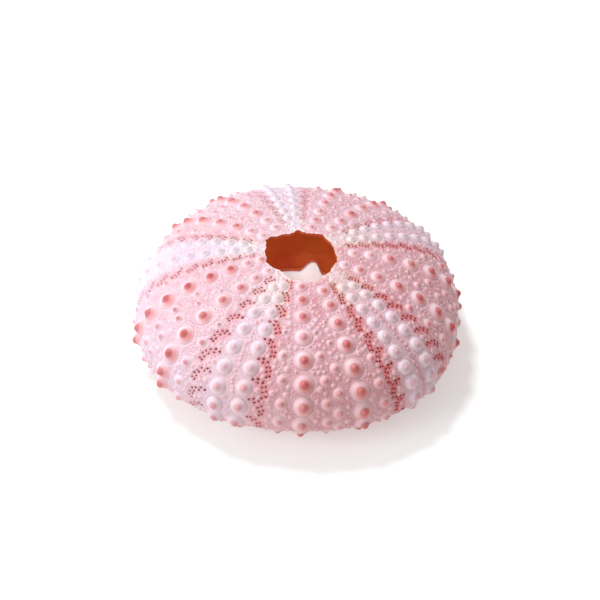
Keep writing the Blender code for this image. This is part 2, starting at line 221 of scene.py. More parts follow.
# Pore pits: dark maroon, partly pigment and partly painted shade in the pit; the darkest is painted shade of
# a hole into the hollow inside
PORE_DARK = (0.28, 0.032, 0.038, 1)
PORE_HOLE_SHADE = (0.03, 0.008, 0.012, 1)
# Cream: the crown's own tint, and the painted highlight along the opening's edge
CROWN_CREAM = (0.66, 0.56, 0.43, 1)
SEAM_PINK = (0.52, 0.22, 0.27, 1)
# Painted shade in the groove round the foot of each boss
GROOVE_SHADE = (0.30, 0.18, 0.19, 1)
# Lavender-white of the painted highlight on the lit sides
HIGHLIGHT_LAVENDER = (0.58, 0.58, 0.68, 1)
# Warmer, darker tan: painted shade on the underside, and the warmer part towards WARM_SIDE
WARM_TAN = (0.54, 0.23, 0.205, 1)
GRANULE_PINK = (0.57, 0.27, 0.30, 1)
GRANULE_PALE = (0.63, 0.35, 0.38, 1)
GRANULE_CORAL = (0.56, 0.16, 0.17, 1)
INSIDE_BROWN = (0.22, 0.034, 0.012, 1)
INSIDE_RUST = (0.28, 0.055, 0.016, 1)
GLOW_RED = (0.27, 0.028, 0.010, 1)  # light that comes through the thin wall
GLOW_ORANGE = (0.38, 0.068, 0.013, 1)
# Painted highlight, where the lit sides are washed out towards lavender-white: middle and half width in
# degrees about the axis, and strength
HIGHLIGHT_PLACES = ((197, 95, 1.0), (112, 80, 1.2), (60, 60, 0.8))
GROUND_HIGHLIGHT = 0.46  # how far the painted highlight pales the ground there at most, and the large bosses
BOSS_HIGHLIGHT = 0.20
FIELD_HIGHLIGHT = (0.0, 0.0, 0.25, 0.38, 0.0)  # painted highlight of each narrow field, beyond its surroundings
WARM_SIDE = 272  # middle of the warmer part, and its half width, in degrees
WARM_WIDTH = 48
BAND_STRENGTHS = ((1.0, 0.9), (0.9, 0.6), (0.75, 0.55), (0.35, 0.7), (0.75, 1.0))  # by field and side

# Camera as in the photograph: height angle, roll, distance and lens
CAMERA_ELEVATION = math.radians(44.94)
CAMERA_ROLL = math.radians(2.98)
CAMERA_DISTANCE = 256.5 * MM
CAMERA_LENS = 71.5
CAMERA_TARGET = (0.26 * MM, 0.0, 9.43 * MM)  # as seen from the middle of the body's axis
KEY_AZIMUTH = 130
LIGHT_DISTANCE = 0.6
FLOOR_HALF = 3.0


class Outline:
    """The body's outline measured along its length, from near the axis over the ridge to the mouth."""

    def __init__(self):
        self.level = np.linspace(0.04, 3.0, 6000)
        points = np.array([self.point(level) for level in self.level])
        self.radius, self.height = points.T
        steps = np.hypot(np.diff(self.radius), np.diff(self.height))
        self.length = np.concatenate(([0.0], np.cumsum(steps)))
        middle = (self.radius[1:] + self.radius[:-1]) / 2
        self.stretch = np.concatenate(([0.0], np.cumsum(steps / middle)))
        along_radius = np.gradient(self.radius, self.length)
        along_height = np.gradient(self.height, self.length)
        size = np.hypot(along_radius, along_height)
        self.out_radius = -along_height / size
        self.out_height = along_radius / size

    @staticmethod
    def point(level):
        if level <= 1:
            turn = level * math.pi / 2
            return (BODY_RADIUS * math.sin(turn) ** (2 / CROWN_ROUNDNESS),
                    BELLY_DEPTH + CROWN_HEIGHT * max(math.cos(turn), 0) ** (2 / CROWN_ROUNDNESS))
        if level <= 2:
            turn = (level - 1) * math.pi / 2
            reach = BODY_RADIUS - RING_OUTER
            return (RING_OUTER + reach * max(math.cos(turn), 0) ** (2 / BELLY_ROUNDNESS),
                    BELLY_DEPTH * (1 - math.sin(turn) ** (2 / BELLY_ROUNDNESS)))
        return RING_OUTER + (MOUTH_RADIUS - RING_OUTER) * (level - 2), 0.0

    def at(self, length, values):
        return np.interp(length, self.length, values)

    def radius_at(self, length):
        return np.interp(length, self.length, self.radius)

    def to_length(self, level):
        return float(np.interp(level, self.level, self.length))

    def to_level(self, length):
        return np.interp(length, self.length, self.level)


BODY = Outline()
WIDEST = BODY.to_length(1.0)
RING_START = BODY.to_length(2.0)
MOUTH = BODY.to_length(3.0)


def short_way(turn):
    """The same turn the short way round, at most half a round either way."""
    return (turn + math.pi) % math.tau - math.pi


def joined(places):
    """Whole columns of numbers from many short ones."""
    return [np.concatenate(column) for column in zip(*places)]


def keep_larger(values, index, new):
    values[index] = np.maximum(values[index], new)


def smooth(low, high, values):
    share = np.clip((values - low) / (high - low), 0, 1)
    return share * share * (3 - 2 * share)


def mouth_radius(turn):
    """Radius of the mouth's edge, with its notches."""
    depth = np.zeros_like(turn)
    for side in (-1, 1):
        notch = FIRST_FIELD + FIELD_STEP / 2 + side * math.radians(NOTCH_PLACE)
        away = (turn - notch + FIELD_STEP / 2) % FIELD_STEP - FIELD_STEP / 2
        share = np.minimum(np.abs(np.degrees(away)) / NOTCH_HALF_WIDTH, 1)
        depth = np.maximum(depth, NOTCH_DEPTH * np.cos(share * math.pi / 2) ** 2)
    return MOUTH_RADIUS + depth


def mouth_length(turn):
    """Where the mouth's edge cuts the outline, as a length along it."""
    lower = BODY.level > 1
    return np.interp(-mouth_radius(turn), -BODY.radius[lower], BODY.length[lower])


def place(length, turn, lift):
    """Points over the body's outline, lifted off it by lift, none below the resting plane."""
    turn = np.asarray(turn, dtype=float)
    radius = BODY.radius_at(length)
    height = BODY.at(length, BODY.height)
    edge = np.clip(1 - (radius - mouth_radius(turn)) / LIP_WIDTH, 0, None)
    height = height + np.where(length > WIDEST, LIP_RISE * edge ** 1.5, 0)
    radius = radius + lift * BODY.at(length, BODY.out_radius)
    height = height + lift * BODY.at(length, BODY.out_height)
    uneven = sum(share * np.cos(waves * (turn - math.radians(crest))) for waves, share, crest in PLAN_WAVES)
    radius = radius * (1 + uneven * (radius / BODY_RADIUS) ** 2)
    return np.stack([radius * np.cos(turn), radius * np.sin(turn), np.maximum(height, 0)], axis=-1)


def flat(length, turn):
    """Points of the surface on a flat map that keeps small shapes."""
    away = np.exp(BODY.at(length, BODY.stretch))
    return np.stack([away * np.cos(turn), away * np.sin(turn)], axis=-1)


def hole_radius(turn):
    degrees = np.degrees(turn - FIRST_FIELD) % 360
    angles, radii = np.array(CROWN_HOLE + ((360, CROWN_HOLE[0][1]),)).T
    return np.interp(degrees, angles, radii * MM)


def hole_length(turn):
    upper = BODY.level <= 1
    return np.interp(hole_radius(turn), BODY.radius[upper], BODY.length[upper])


def grown(factors, level):
    return factors[0] + factors[1] * level + factors[2] * level ** 2


def row_lengths(start, spacing, widening=1.0):
    """Where the tubercles of one row stand, as lengths along the outline, down to the mouth's ring."""
    level = start
    levels = [level]
    while level < LAST_GROWING_LEVEL:
        level += grown(spacing, level) * widening
        levels.append(level)
    lengths = [BODY.to_length(level) for level in levels]
    step = BELLY_STEP
    while lengths[-1] + step < RING_START + 0.3 * BELLY_STEP:
        lengths.append(lengths[-1] + step)
        step *= BELLY_SHRINK
    return lengths


def between_edges(length, turn, from_hole, from_mouth):
    """Which points are at least so far from the crown's opening and from the mouth."""
    return (length > hole_length(turn) + from_hole) & (length < mouth_length(turn) - from_mouth)


def wide_row(field, side):
    return row_lengths(WIDE_STARTS[field][(side + 1) // 2], WIDE_SPACING)


def narrow_row(field, side):
    return row_lengths(NARROW_STARTS[field][(side + 1) // 2], NARROW_SPACING, NARROW_WIDENING[field])


def wide_middle(field):
    return FIRST_FIELD + FIELD_STEP * field + math.radians(WIDE_SHIFTS[field])


def narrow_middle(field):
    return FIRST_FIELD + FIELD_STEP * (field + 0.5) + math.radians(NARROW_SHIFTS[field])


def around(length):
    """How much of its greatest girth the body has, for what narrows with it on the underside."""
    return np.where(length <= WIDEST, 1.0, BODY.radius_at(length) / BODY_RADIUS)


def upper_level(length):
    return np.minimum(BODY.to_level(length), 1.0)


def row_side(row, length):
    """How far a row stands from its field's middle line."""
    return grown(row, upper_level(length)) * MM * around(length)


def base_radius(base, length):
    return grown(base, upper_level(length)) * MM * around(length) ** BASE_SHRINK


def side_base(length):
    return float(SIDE_BASE * np.minimum(1.0, 0.45 + 0.65 * upper_level(length)) * around(length) ** 0.6)


class Features:
    """Everything that stands on or is sunk in the surface, as columns of numbers."""

    def __init__(self):
        self.rows = []

    def add(self, kind, length, turn, base, tip, tint):
        self.rows.append((kind, float(length), float(turn), float(base), float(tip), float(tint)))

    def finish(self):
        table = np.array(self.rows)
        self.kind = table[:, 0].astype(int)
        self.length, self.turn, self.base, self.tip, self.tint = table[:, 1:].T
        self.radius = BODY.radius_at(self.length)

    def spot(self, number):
        return self.length[number], self.turn[number]


def gap(length_a, turn_a, length_b, turn_b):
    """Distance on the surface between places near each other."""
    swing = short_way(turn_a - turn_b)
    radius = BODY.radius_at((length_a + length_b) / 2)
    return np.hypot(length_a - length_b, swing * radius)


NEIGHBOURS = list(product((-1, 0, 1), repeat=3))


class Ground:
    """What is already taken on the surface, looked up by squares of a coarse grid."""

    CELL = 2.5 * MM

    def __init__(self):
        self.cells = {}

    def key(self, point):
        return tuple(int(math.floor(value / self.CELL)) for value in point)

    def room(self, point):
        """Free distance from a point to the nearest taken place."""
        x, y, z = self.key(point)
        best = self.CELL
        for step_x, step_y, step_z in NEIGHBOURS:
            for other, reach in self.cells.get((x + step_x, y + step_y, z + step_z), ()):
                best = min(best, math.dist(point, other) - reach)
        return best

    def take(self, point, reach):
        self.cells.setdefault(self.key(point), []).append((point, reach))


def surface_point(length, turn):
    return tuple(place(length, turn, 0.0).tolist())


def free_of_edges(length, turn, base):
    hole = float(np.max(hole_length(turn + np.array((-0.06, 0.0, 0.06)))))
    return length - hole > base * 0.8 and length + base < float(mouth_length(np.array(turn)))


def add_tubercle(features, ground, kind, length, turn, base, tip, tint):
    base = float(base)
    if free_of_edges(length, turn, 0.8 * base):
        features.add(kind, length, turn, base, tip, tint)
        ground.take(surface_point(length, turn), CLEAR_REACH * base)


def add_rows(features, ground, draws):
    """The large tubercles: two rows to each wide field and two to each narrow one."""
    for field, side in ROWS:
        strengths = TIP_STRENGTHS[field][(side + 1) // 2]
        for number, length in enumerate(wide_row(field, side)):
            turn = wide_middle(field) + side * row_side(WIDE_ROW, length) / BODY.radius_at(length)
            tip = WIDE_TIP * float(upper_level(length)) ** 0.5 * float(around(length))
            tip *= 1 - RIDGE_DROP * math.exp(-((length - WIDEST) / RIDGE_REACH) ** 2)
            tint = strengths[number] if number < len(strengths) else USUAL_STRENGTH
            add_tubercle(features, ground, WIDE, length, turn, base_radius(WIDE_BASE, length), tip, tint)
    for field, side in ROWS:
        for length in narrow_row(field, side):
            level = float(upper_level(length))
            turn = narrow_middle(field) + side * row_side(NARROW_ROW, length) / BODY.radius_at(length)
            base = base_radius(NARROW_BASE, length) * NARROW_SIZES[field]
            tip = NARROW_TIP * level ** 0.4 * float(around(length))
            tint = 0.12 + 0.15 * draws.random() + LOWER_CORAL[field] * (max(0, level - 0.6) / 0.4)
            add_tubercle(features, ground, NARROW, length, turn, base, tip, tint)


def arc_places(field, side, length, step, pairs):
    """Middles of the pore pairs of one arc."""
    field_turn = FIRST_FIELD + FIELD_STEP * (field + 0.5)
    row = (side + 1) // 2
    first = np.interp(upper_level(length), ARC_LEVELS, ARC_FIRST[field][row])
    last = np.interp(upper_level(length), ARC_LEVELS, ARC_LAST[field][row])
    for pair in range(pairs):
        share = pair / 4
        degrees = first + (last - first) * math.sin(math.pi / 2 * min(1, 1.3 * share))
        where = length + step * (ARC_TOP + ARC_DROPS[field][row] * share ** 1.25)
        spread = FIRST_SPREAD + (LAST_SPREAD - FIRST_SPREAD) * min(1, 2 * share)
        yield pair, where, field_turn + side * math.radians(degrees), spread


def add_pores(features, ground, draws):
    """Pairs of pores in arcs along both margins of every narrow field."""
    for field, side in ROWS:
        lengths = narrow_row(field, side)
        steps = [lengths[1] - lengths[0]] + list(np.diff(lengths))
        for length, step in zip(lengths, steps):
            radius = float(BODY.radius_at(length))
            long_arc = field == 4 or (field, side) == (0, -1)
            pairs = 5 if long_arc and radius > LONG_ARC_RADIUS else 4
            scale = min(1.0, 0.62 + 0.4 * radius / (22 * MM))
            scale *= ARC_SIZES[field] * (1.0 if length < WIDEST else 0.8)
            for pair, where, turn, spread in arc_places(field, side, length, step, pairs):
                for end in (-1, 1):
                    along = where - end * PAIR_SLANT / 2 * scale + draws.normal(0, PORE_STRAY)
                    radius = float(BODY.radius_at(along))
                    swing = turn + side * end * spread / 2 * scale / radius
                    swing += draws.normal(0, PORE_STRAY) / radius
                    point = surface_point(along, swing)
                    base = PORE_BASE * draws.uniform(0.8, 1.1) * (0.3 + 0.7 * scale)
                    # The first pair of each arc gets the darkest painted shade, as of a hole
                    hole_shade = 0.9 if pair == 0 else 0.3 * draws.random()
                    free = ground.room(point) >= 0.6 * base and free_of_edges(along, swing, 0.35 * MM)
                    if free and along <= RING_START:
                        features.add(PORE, along, swing, base, -PORE_DEPTH, hole_shade)
                        ground.take(point, base)


def try_knob(features, ground, kind, length, turn, base, tip, tint, least):
    """Stands a knob on free ground, smaller where there is less room for it."""
    point = surface_point(length, turn)
    room = ground.room(point)
    if room < least or not free_of_edges(length, turn, base):
        return False
    fitted = min(base, room)
    features.add(kind, length, turn, fitted, tip * fitted / base, tint)
    ground.take(point, fitted)
    return True


def add_side_knobs(features, ground, draws):
    """Smaller tubercles on both sides of the large ones of the wide fields, and in the arcs' crooks."""
    for field, side in ROWS:
        for length in wide_row(field, side):
            level = float(BODY.to_level(length))
            if level < FIRST_SIDE_LEVEL:
                continue
            share = min(level, 1.0)
            girth = float(around(length))
            raised = BODY.to_length(level - SIDE_RAISE * grown(WIDE_SPACING, share))
            radius = float(BODY.radius_at(raised))
            outer = float(row_side(WIDE_ROW, length)) + BODY_RADIUS * (0.08 + 0.06 * share) * girth
            base = side_base(raised) * (1.0 if level > 0.5 else 0.45 + 1.1 * (level - FIRST_SIDE_LEVEL))
            tip = SIDE_TIP * girth * base / side_base(raised)
            for sideways in (INNER_SIDE * girth, outer):
                turn = wide_middle(field) + side * sideways / radius + draws.normal(0, SIDE_STRAY) / radius
                along = raised + draws.normal(0, SIDE_STRAY)
                try_knob(features, ground, SIDE, along, turn, base, tip, draws.random(), 0.55 * MM)
    for field, side in ROWS:
        lengths = narrow_row(field, side)
        for length, step in zip(lengths, np.diff(lengths)):
            for drop, degrees, base in CROOK_KNOBS:
                turn = narrow_middle(field) + side * math.radians(degrees)
                try_knob(features, ground, SMALL, length + drop * step, turn, base * MM, 0.5 * base * MM,
                         draws.random(), 0.26 * MM)


def add_seam_knobs(features, ground, draws):
    """Small coral knobs along the zigzag seam in the middle of every narrow field."""
    for field in range(5):
        length = BODY.to_length(0.3)
        while length < RING_START:
            length += draws.uniform(0.7, 1.2) * MM
            turn = narrow_middle(field) + draws.normal(0, 0.45 * MM) / float(BODY.radius_at(length))
            base = draws.uniform(0.34, 0.55) * MM
            try_knob(features, ground, SMALL, length, turn, base, 0.5 * base, draws.uniform(0.4, 1), 0.3 * MM)


def add_small_knobs(features, ground, draws):
    """Small knobs in the free ground of the wide fields, largest first."""
    for size, count in SMALL_TRIES:
        for _ in range(count):
            length = draws.uniform(BODY.to_length(0.09), RING_START + 1.0 * MM)
            if draws.random() > BODY.radius_at(length) / BODY_RADIUS:
                continue
            field = draws.integers(5)
            half = math.radians(36 if length < BODY.to_length(0.2) else 21.5)
            turn = FIRST_FIELD + FIELD_STEP * field + draws.uniform(-half, half)
            growth = 0.6 + 0.4 * float(upper_level(length))
            base = size * MM * growth
            try_knob(features, ground, SMALL, length, turn, base, 0.5 * base, draws.random(), 0.92 * base)


def cap(share, base, top):
    """Height of a round cap over its base, for shares of the base radius below 1."""
    ball = (base * base + top * top) / (2 * top)
    return np.sqrt(np.maximum(ball * ball - (share * base) ** 2, 0)) - (ball - top)


def ball_on(distance, ball, top):
    """Height of a ball with its top at a height; far below the ground beside it."""
    inside = np.maximum(ball * ball - distance * distance, 0)
    return np.where(distance < ball, top - ball + np.sqrt(inside), -1.0)


# What a knob carries where it is the highest, and the other marks of the outer surface
KNOB_MARKS = ("boss", "tip", "neck", "halo", "shade")
OTHER_MARKS = ("tint", "groove", "areole", "pore", "hole_shade")


class Surface:
    """Points of the outer surface with their height and what they carry."""

    def __init__(self, length, turn):
        self.length = length
        self.turn = turn
        self.order = np.argsort(length)
        self.sorted = length[self.order]
        self.lift = np.zeros(len(length))
        self.kind = np.full(len(length), -1)
        self.mark = {label: np.zeros(len(length)) for label in KNOB_MARKS + OTHER_MARKS}

    def window(self, spot, reach):
        """Indices of the points within reach of a place, and their distances from it."""
        low = np.searchsorted(self.sorted, spot[0] - reach)
        high = np.searchsorted(self.sorted, spot[0] + reach)
        index = self.order[low:high]
        distance = gap(self.length[index], self.turn[index], *spot)
        close = distance < reach
        return index[close], distance[close]


def shaded_side(surface, features, number, index, distance):
    """From 1 on the side of a tubercle that is away from the light, to -1 on the lit side."""
    length, turn = features.spot(number)
    swing = short_way(surface.turn[index] - turn)
    along = (length - surface.length[index]) * math.cos(HALO_AZIMUTH - turn)
    sideways = -swing * features.radius[number] * math.sin(HALO_AZIMUTH - turn)
    return (along + sideways) / np.maximum(distance, 0.01 * MM)


def shaded_halo(surface, features, number, index, share):
    """Where a boss is coral about its nipple, mostly on the side away from the light as painted shade, and
    not on the ring at its foot.
    """
    length, turn = features.spot(number)
    shift = HALO_SHIFT * features.base[number]
    length = length - shift * math.cos(HALO_AZIMUTH - turn)
    turn = turn - shift * math.sin(HALO_AZIMUTH - turn) / features.radius[number]
    distance = gap(surface.length[index], surface.turn[index], length, turn)
    return (1 - smooth(0.15, 0.95, distance / features.base[number])) * (1 - smooth(0.70, 0.98, share))


def shape_tubercle(kind, base, top, distance):
    """Height of a boss with its nipple, and the marks of nipple and neck."""
    ball_share, boss_share = NIPPLE[kind]
    ball = ball_share * base
    boss = boss_share * top * np.clip(1 - (distance / base) ** 2, 0, 1) ** BELL[kind]
    tip = 1 - smooth(0.85, 1.06, distance / ball)
    neck = np.exp(-((distance / ball - 1.02) / 0.16) ** 2)
    return np.maximum(boss, ball_on(distance, ball, top)), {"tip": tip, "neck": neck}


def raise_features(surface, features):
    """Gives every point its height over the body and the marks that its colour depends on."""
    mark = surface.mark
    knob_height = np.zeros(len(surface.length))
    for number, kind in enumerate(features.kind):
        base, top = features.base[number], features.tip[number]
        index, distance = surface.window(features.spot(number), 1.6 * base + 0.3 * MM)
        share = distance / base
        if kind == PORE:
            surface.lift[index] += top * (1 - smooth(0.45, 1.25, share))
            keep_larger(mark["pore"], index, 1 - smooth(0.8, 1.5, share))
            mark["hole_shade"][index[share < 1.6]] = features.tint[number]
            continue
        groove = np.exp(-((distance - base - GROOVE_PLACE) / GROOVE_WIDTH) ** 2)
        if kind == SMALL:
            height = np.where(share < 1, cap(share, base, top), 0.0)
            own = {"tip": 1 - smooth(0.15, 0.6, share)}
            groove *= 0.3
        else:
            height, own = shape_tubercle(kind, base, top, distance)
            side = shaded_side(surface, features, number, index, distance)
            own["halo"] = shaded_halo(surface, features, number, index, share)
            own["shade"] = 0.5 + 0.5 * side * np.minimum(1.6 * share, 1)
            # The groove grows on the side away from the light: deeper there, and darker by painted shade
            groove *= (0.62 + 0.38 * side) * (1.0 if kind == WIDE else 0.7)
            ring = smooth(1.0, 1.06, share) * (1 - smooth(AREOLE[kind] - 0.06, AREOLE[kind] + 0.08, share))
            keep_larger(mark["areole"], index, ring)
        own["boss"] = 1 - smooth(0.76, 1.03, share)
        higher = height > knob_height[index]
        target = index[higher]
        knob_height[target] = height[higher]
        for label in KNOB_MARKS:
            mark[label][target] = own[label][higher] if label in own else 0.0
        mark["tint"][target] = features.tint[number]
        surface.kind[target] = kind
        keep_larger(mark["groove"], index, groove)
    mark["groove"] *= np.where(knob_height <= 0, 1.0, 0.5 * np.exp(-knob_height / (0.15 * MM)))
    surface.lift += knob_height - GROOVE_DEPTH * mark["groove"]


def recess(length):
    """How far the underside's ground is sunk, so that its small knobs reach the resting plane."""
    start = BODY.to_length(1.72)
    return RING_RECESS * smooth(start, RING_START, length)


def ring_points(features):
    """Points about every feature, without those that lie nearer to the middle of another."""
    rings = []
    for number, kind in enumerate(features.kind):
        length, turn = features.spot(number)
        below = 0.72 if length > WIDEST + 4 * MM else 1.0
        for share, corners in RINGS[kind]:
            corners = max(5, int(round(corners * below)))
            angle = (np.arange(corners) + 0.5 * (corners % 2) + number * 0.37) * math.tau / corners
            reach = features.base[number] * share
            swing = reach * np.cos(angle) / features.radius[number]
            rings.append((length + reach * np.sin(angle), turn + swing, np.full(corners, number),
                          np.full(corners, share)))
        rings.append(([length], [turn], [number], [0.0]))
    length, turn, owner, share = joined(rings)
    keep = np.ones(len(length), bool)
    probe = Surface(length, turn)
    for number, base in enumerate(features.base):
        index, distance = probe.window(features.spot(number), 1.08 * base)
        keep[index[(owner[index] != number) & (distance / base < share[index] - 0.001)]] = False
    return length[keep], turn[keep]


def even_turns(count):
    return np.arange(count) * math.tau / count


def staggered_rows(start, rows, step, step_below):
    """Places in rows round the body from a length down to the mouth, every second row half a step on."""
    for row in range(rows):
        length = start + (row + 0.5) * (MOUTH - start) / rows
        here = step if length < WIDEST + 5 * MM else step_below
        count = int(math.tau * BODY.radius_at(length) / here)
        yield np.full(count, length), (np.arange(count) + 0.5 * (row % 2)) * math.tau / count


def fill_points(features, draws):
    """Points of the bare ground, in staggered and slightly uneven rows."""
    start = BODY.to_length(0.1)
    rows = int((MOUTH - start) / (FILL_STEP * 0.87))
    places = []
    for length, turn in staggered_rows(start, rows, FILL_STEP, FILL_STEP_BELOW):
        stray = draws.normal(0, FILL_STRAY, len(turn))
        turn = turn + draws.normal(0, FILL_STRAY, len(turn)) / BODY.radius_at(length)
        places.append((length + stray, turn))
    length, turn = joined(places)
    keep = between_edges(length, turn, 0.3 * MM, 0.3 * MM)
    probe = Surface(length, turn)
    for number, base in enumerate(features.base):
        covered, _ = probe.window(features.spot(number), 1.12 * base + 0.14 * MM)
        keep[covered] = False
    return length[keep], turn[keep]


def thin_out(length, turn, least):
    """Drops points that nearly coincide with earlier ones."""
    point = place(length, turn, 0.0)
    cell = np.round(point / least).astype(np.int64)
    key = (cell[:, 0] * 73856093) ^ (cell[:, 1] * 19349663) ^ (cell[:, 2] * 83492791)
    first = np.unique(key, return_index=True)[1]
    first.sort()
    return length[first], turn[first]


def rim_lengths(draws):
    """The crown opening's edge: its outline with small chips."""
    turn = even_turns(HOLE_SIDES)
    rough = np.zeros(HOLE_SIDES)
    for waves, size in RIM_WAVES:
        rough += size * MM * np.sin(waves * turn + draws.uniform(0, math.tau))
    for _ in range(RIM_CHIPS):
        middle = draws.uniform(0, math.tau)
        away = short_way(turn - middle)
        width = draws.uniform(0.025, 0.07)
        rough += draws.uniform(0.08, 0.30) * MM * np.clip(1 - np.abs(away) / width, 0, 1)
    return hole_length(turn) + rough


def inside_outline(point, outline):
    """For each point of the flat map, whether it is inside a closed outline."""
    within = np.zeros(len(point), bool)
    ends = np.roll(outline, -1, axis=0)
    for start, end in zip(outline, ends):
        spans = (start[1] > point[:, 1]) != (end[1] > point[:, 1])
        if not spans.any():
            continue
        crossing = start[0] + (point[:, 1] - start[1]) * (end[0] - start[0]) / (end[1] - start[1])
        within ^= spans & (point[:, 0] < crossing)
    return within


def triangulate(length, turn, hole_count, mouth_count):
    """Triangles over points whose first ones are the hole's edge and whose next are the mouth's."""
    mapped = flat(length, turn)
    hole = list(range(hole_count))
    mouth = list(range(hole_count, hole_count + mouth_count))
    edges = list(zip(hole, hole[1:] + hole[:1])) + list(zip(mouth, mouth[1:] + mouth[:1]))
    made = delaunay_2d_cdt([Vector(point) for point in mapped.tolist()], edges, [], 0, 1e-9)
    source = np.array([origins[0] if origins else -1 for origins in made[3]])
    faces = source[np.array(made[2])]
    faces = faces[(faces >= 0).all(axis=1)]
    middle = mapped[faces].mean(axis=1)
    in_hole = inside_outline(middle, mapped[:hole_count])
    in_mouth = inside_outline(middle, mapped[hole_count:hole_count + mouth_count])
    return faces[in_mouth & ~in_hole]


def outer_surface(features, draws):
    """The whole outside as points and triangles."""
    length, turn = joined([ring_points(features), fill_points(features, draws)])
    keep = between_edges(length, turn, 0.2 * MM, 0.2 * MM)
    length, turn = thin_out(length[keep], turn[keep], 0.09 * MM)
    mouth = even_turns(MOUTH_SIDES)
    rim = (rim_lengths(draws), even_turns(HOLE_SIDES))
    length, turn = joined([rim, (mouth_length(mouth), mouth), (length, turn)])
    surface = Surface(length, turn)
    faces = triangulate(length, turn, HOLE_SIDES, MOUTH_SIDES)
    raise_features(surface, features)
    near_hole = smooth(0.0, 0.4 * MM, length - hole_length(turn))
    near_mouth = smooth(0.0, 0.5 * MM, mouth_length(turn) - length)
    surface.lift *= near_hole * near_mouth
    surface.lift -= recess(length)
    return surface, faces


def wall(length):
    return WALL_AT_CROWN + (WALL_AT_BELLY - WALL_AT_CROWN) * upper_level(length)


def inner_surface(rim_length):
    """The inside, one wall thickness within the outline, faintly ridged along the plates."""
    mouth = even_turns(MOUTH_SIDES)
    places = [(rim_length, even_turns(HOLE_SIDES)), (mouth_length(mouth), mouth)]
    for length, turn in staggered_rows(BODY.to_length(0.2), INNER_ROWS, INNER_STEP, INNER_STEP):
        keep = between_edges(length, turn, 1.0 * MM, 0.8 * MM)
        places.append((length[keep], turn[keep]))
    length, turn = joined(places)
    faces = triangulate(length, turn, HOLE_SIDES, MOUTH_SIDES)
    seam = np.abs((2 * (turn - FIRST_FIELD) / FIELD_STEP) % 1 - 0.5) * 2
    depth = wall(length) + 0.10 * MM * smooth(0.85, 1.0, seam)
    depth = RIM_WALL + (depth - RIM_WALL) * smooth(0, 2.5 * MM, length - hole_length(turn))
    lip = 1 - smooth(0, 3 * MM, mouth_length(turn) - length)
    depth = depth * (1 - lip) + LIP_WALL * lip
    return length, turn, -depth, faces


def centre_on(points, box):
    """How far points move sideways so that the middle of their outline is over that of the CAD model."""
    shift = (np.array(box[0]) + np.array(box[1])) / 2 - (points.min(axis=0) + points.max(axis=0)) / 2
    shift[2] = 0
    return shift


def new_object(name, data):
    made = bpy.data.objects.new(name, data)
    bpy.context.scene.collection.objects.link(made)
    return made


def mesh_object(name, points, faces, marks, materials, face_material=None):
    """A smooth mesh object whose points carry named numbers."""
    mesh = bpy.data.meshes.new(name)
    mesh.vertices.add(len(points))
    mesh.vertices.foreach_set("co", np.asarray(points, dtype=np.float32).ravel())
    mesh.loops.add(3 * len(faces))
    mesh.loops.foreach_set("vertex_index", np.asarray(faces, dtype=np.int32).ravel())
    mesh.polygons.add(len(faces))
    mesh.polygons.foreach_set("loop_start", np.arange(0, 3 * len(faces), 3, dtype=np.int32))
    if face_material is not None:
        mesh.polygons.foreach_set("material_index", np.asarray(face_material, dtype=np.int32))
    mesh.update(calc_edges=True)
    mesh.validate()
    for label, values in marks.items():
        layer = mesh.attributes.new(label, "FLOAT", "POINT")
        layer.data.foreach_set("value", np.asarray(values, dtype=np.float32))
    for material in materials:
        mesh.materials.append(material)
    mesh.shade_smooth()
    return new_object(name, mesh)


class Nodes:
    """Short calls for the few shader nodes used here."""

    def __init__(self, name):
        self.material = bpy.data.materials.new(name)
        self.material.use_nodes = True
        self.tree = self.material.node_tree

    def feed(self, node, inputs):
        """Sets a node's inputs to values, or links them to other nodes."""
        for label, value in inputs.items():
            if isinstance(value, bpy.types.NodeSocket):
                self.tree.links.new(value, node.inputs[label])
            else:
                node.inputs[label].default_value = value

    def shade(self, inputs):
        self.feed(self.tree.nodes["Principled BSDF"], inputs)

    def add(self, kind, inputs):
        node = self.tree.nodes.new("ShaderNode" + kind)
        self.feed(node, inputs)
        return node

    def mark(self, label):
        node = self.add("Attribute", {})
        node.attribute_name = label
        return node.outputs["Fac"]

    def mix(self, share, first, second):
        node = self.tree.nodes.new("ShaderNodeMix")
        node.data_type = "RGBA"
        self.feed(node, {0: share, 6: first, 7: second})
        return node.outputs[2]

    def coat(self, colour, *coats):
        """Lays colours over a colour one after the other, each where its mark says."""
        for label, over in coats:
            colour = self.mix(self.mark(label), colour, over)
        return colour

    def noise(self, scale, detail):
        where = self.add("TexCoord", {}).outputs["Object"]
        return self.add("TexNoise", {"Vector": where, "Scale": scale, "Detail": detail}).outputs["Fac"]

    def ramp(self, value, low, high, first, last):
        """Maps a number between low and high to one between first and last."""
        limits = {"From Min": low, "From Max": high, "To Min": first, "To Max": last}
        return self.add("MapRange", {"Value": value, **limits}).outputs["Result"]

    def bump(self, height, distance, strength):
        node = self.add("Bump", {"Height": height, "Distance": distance, "Strength": strength})
        self.shade({"Normal": node.outputs["Normal"]})


def limy(nodes, fine, colour, least_rough):
    """The satin, slightly translucent surface that the outside's materials share."""
    nodes.shade({
        "Base Color": nodes.mix(nodes.ramp(fine, 0.3, 0.7, 0.0, 0.12), colour, GROUND_PALE),
        "Roughness": nodes.ramp(fine, 0.3, 0.7, least_rough, least_rough + 0.14),
        "Subsurface Weight": 0.15,
        "Subsurface Radius": (1.0, 0.45, 0.35),
        "Subsurface Scale": 0.4 * MM,
        "IOR": 1.5})


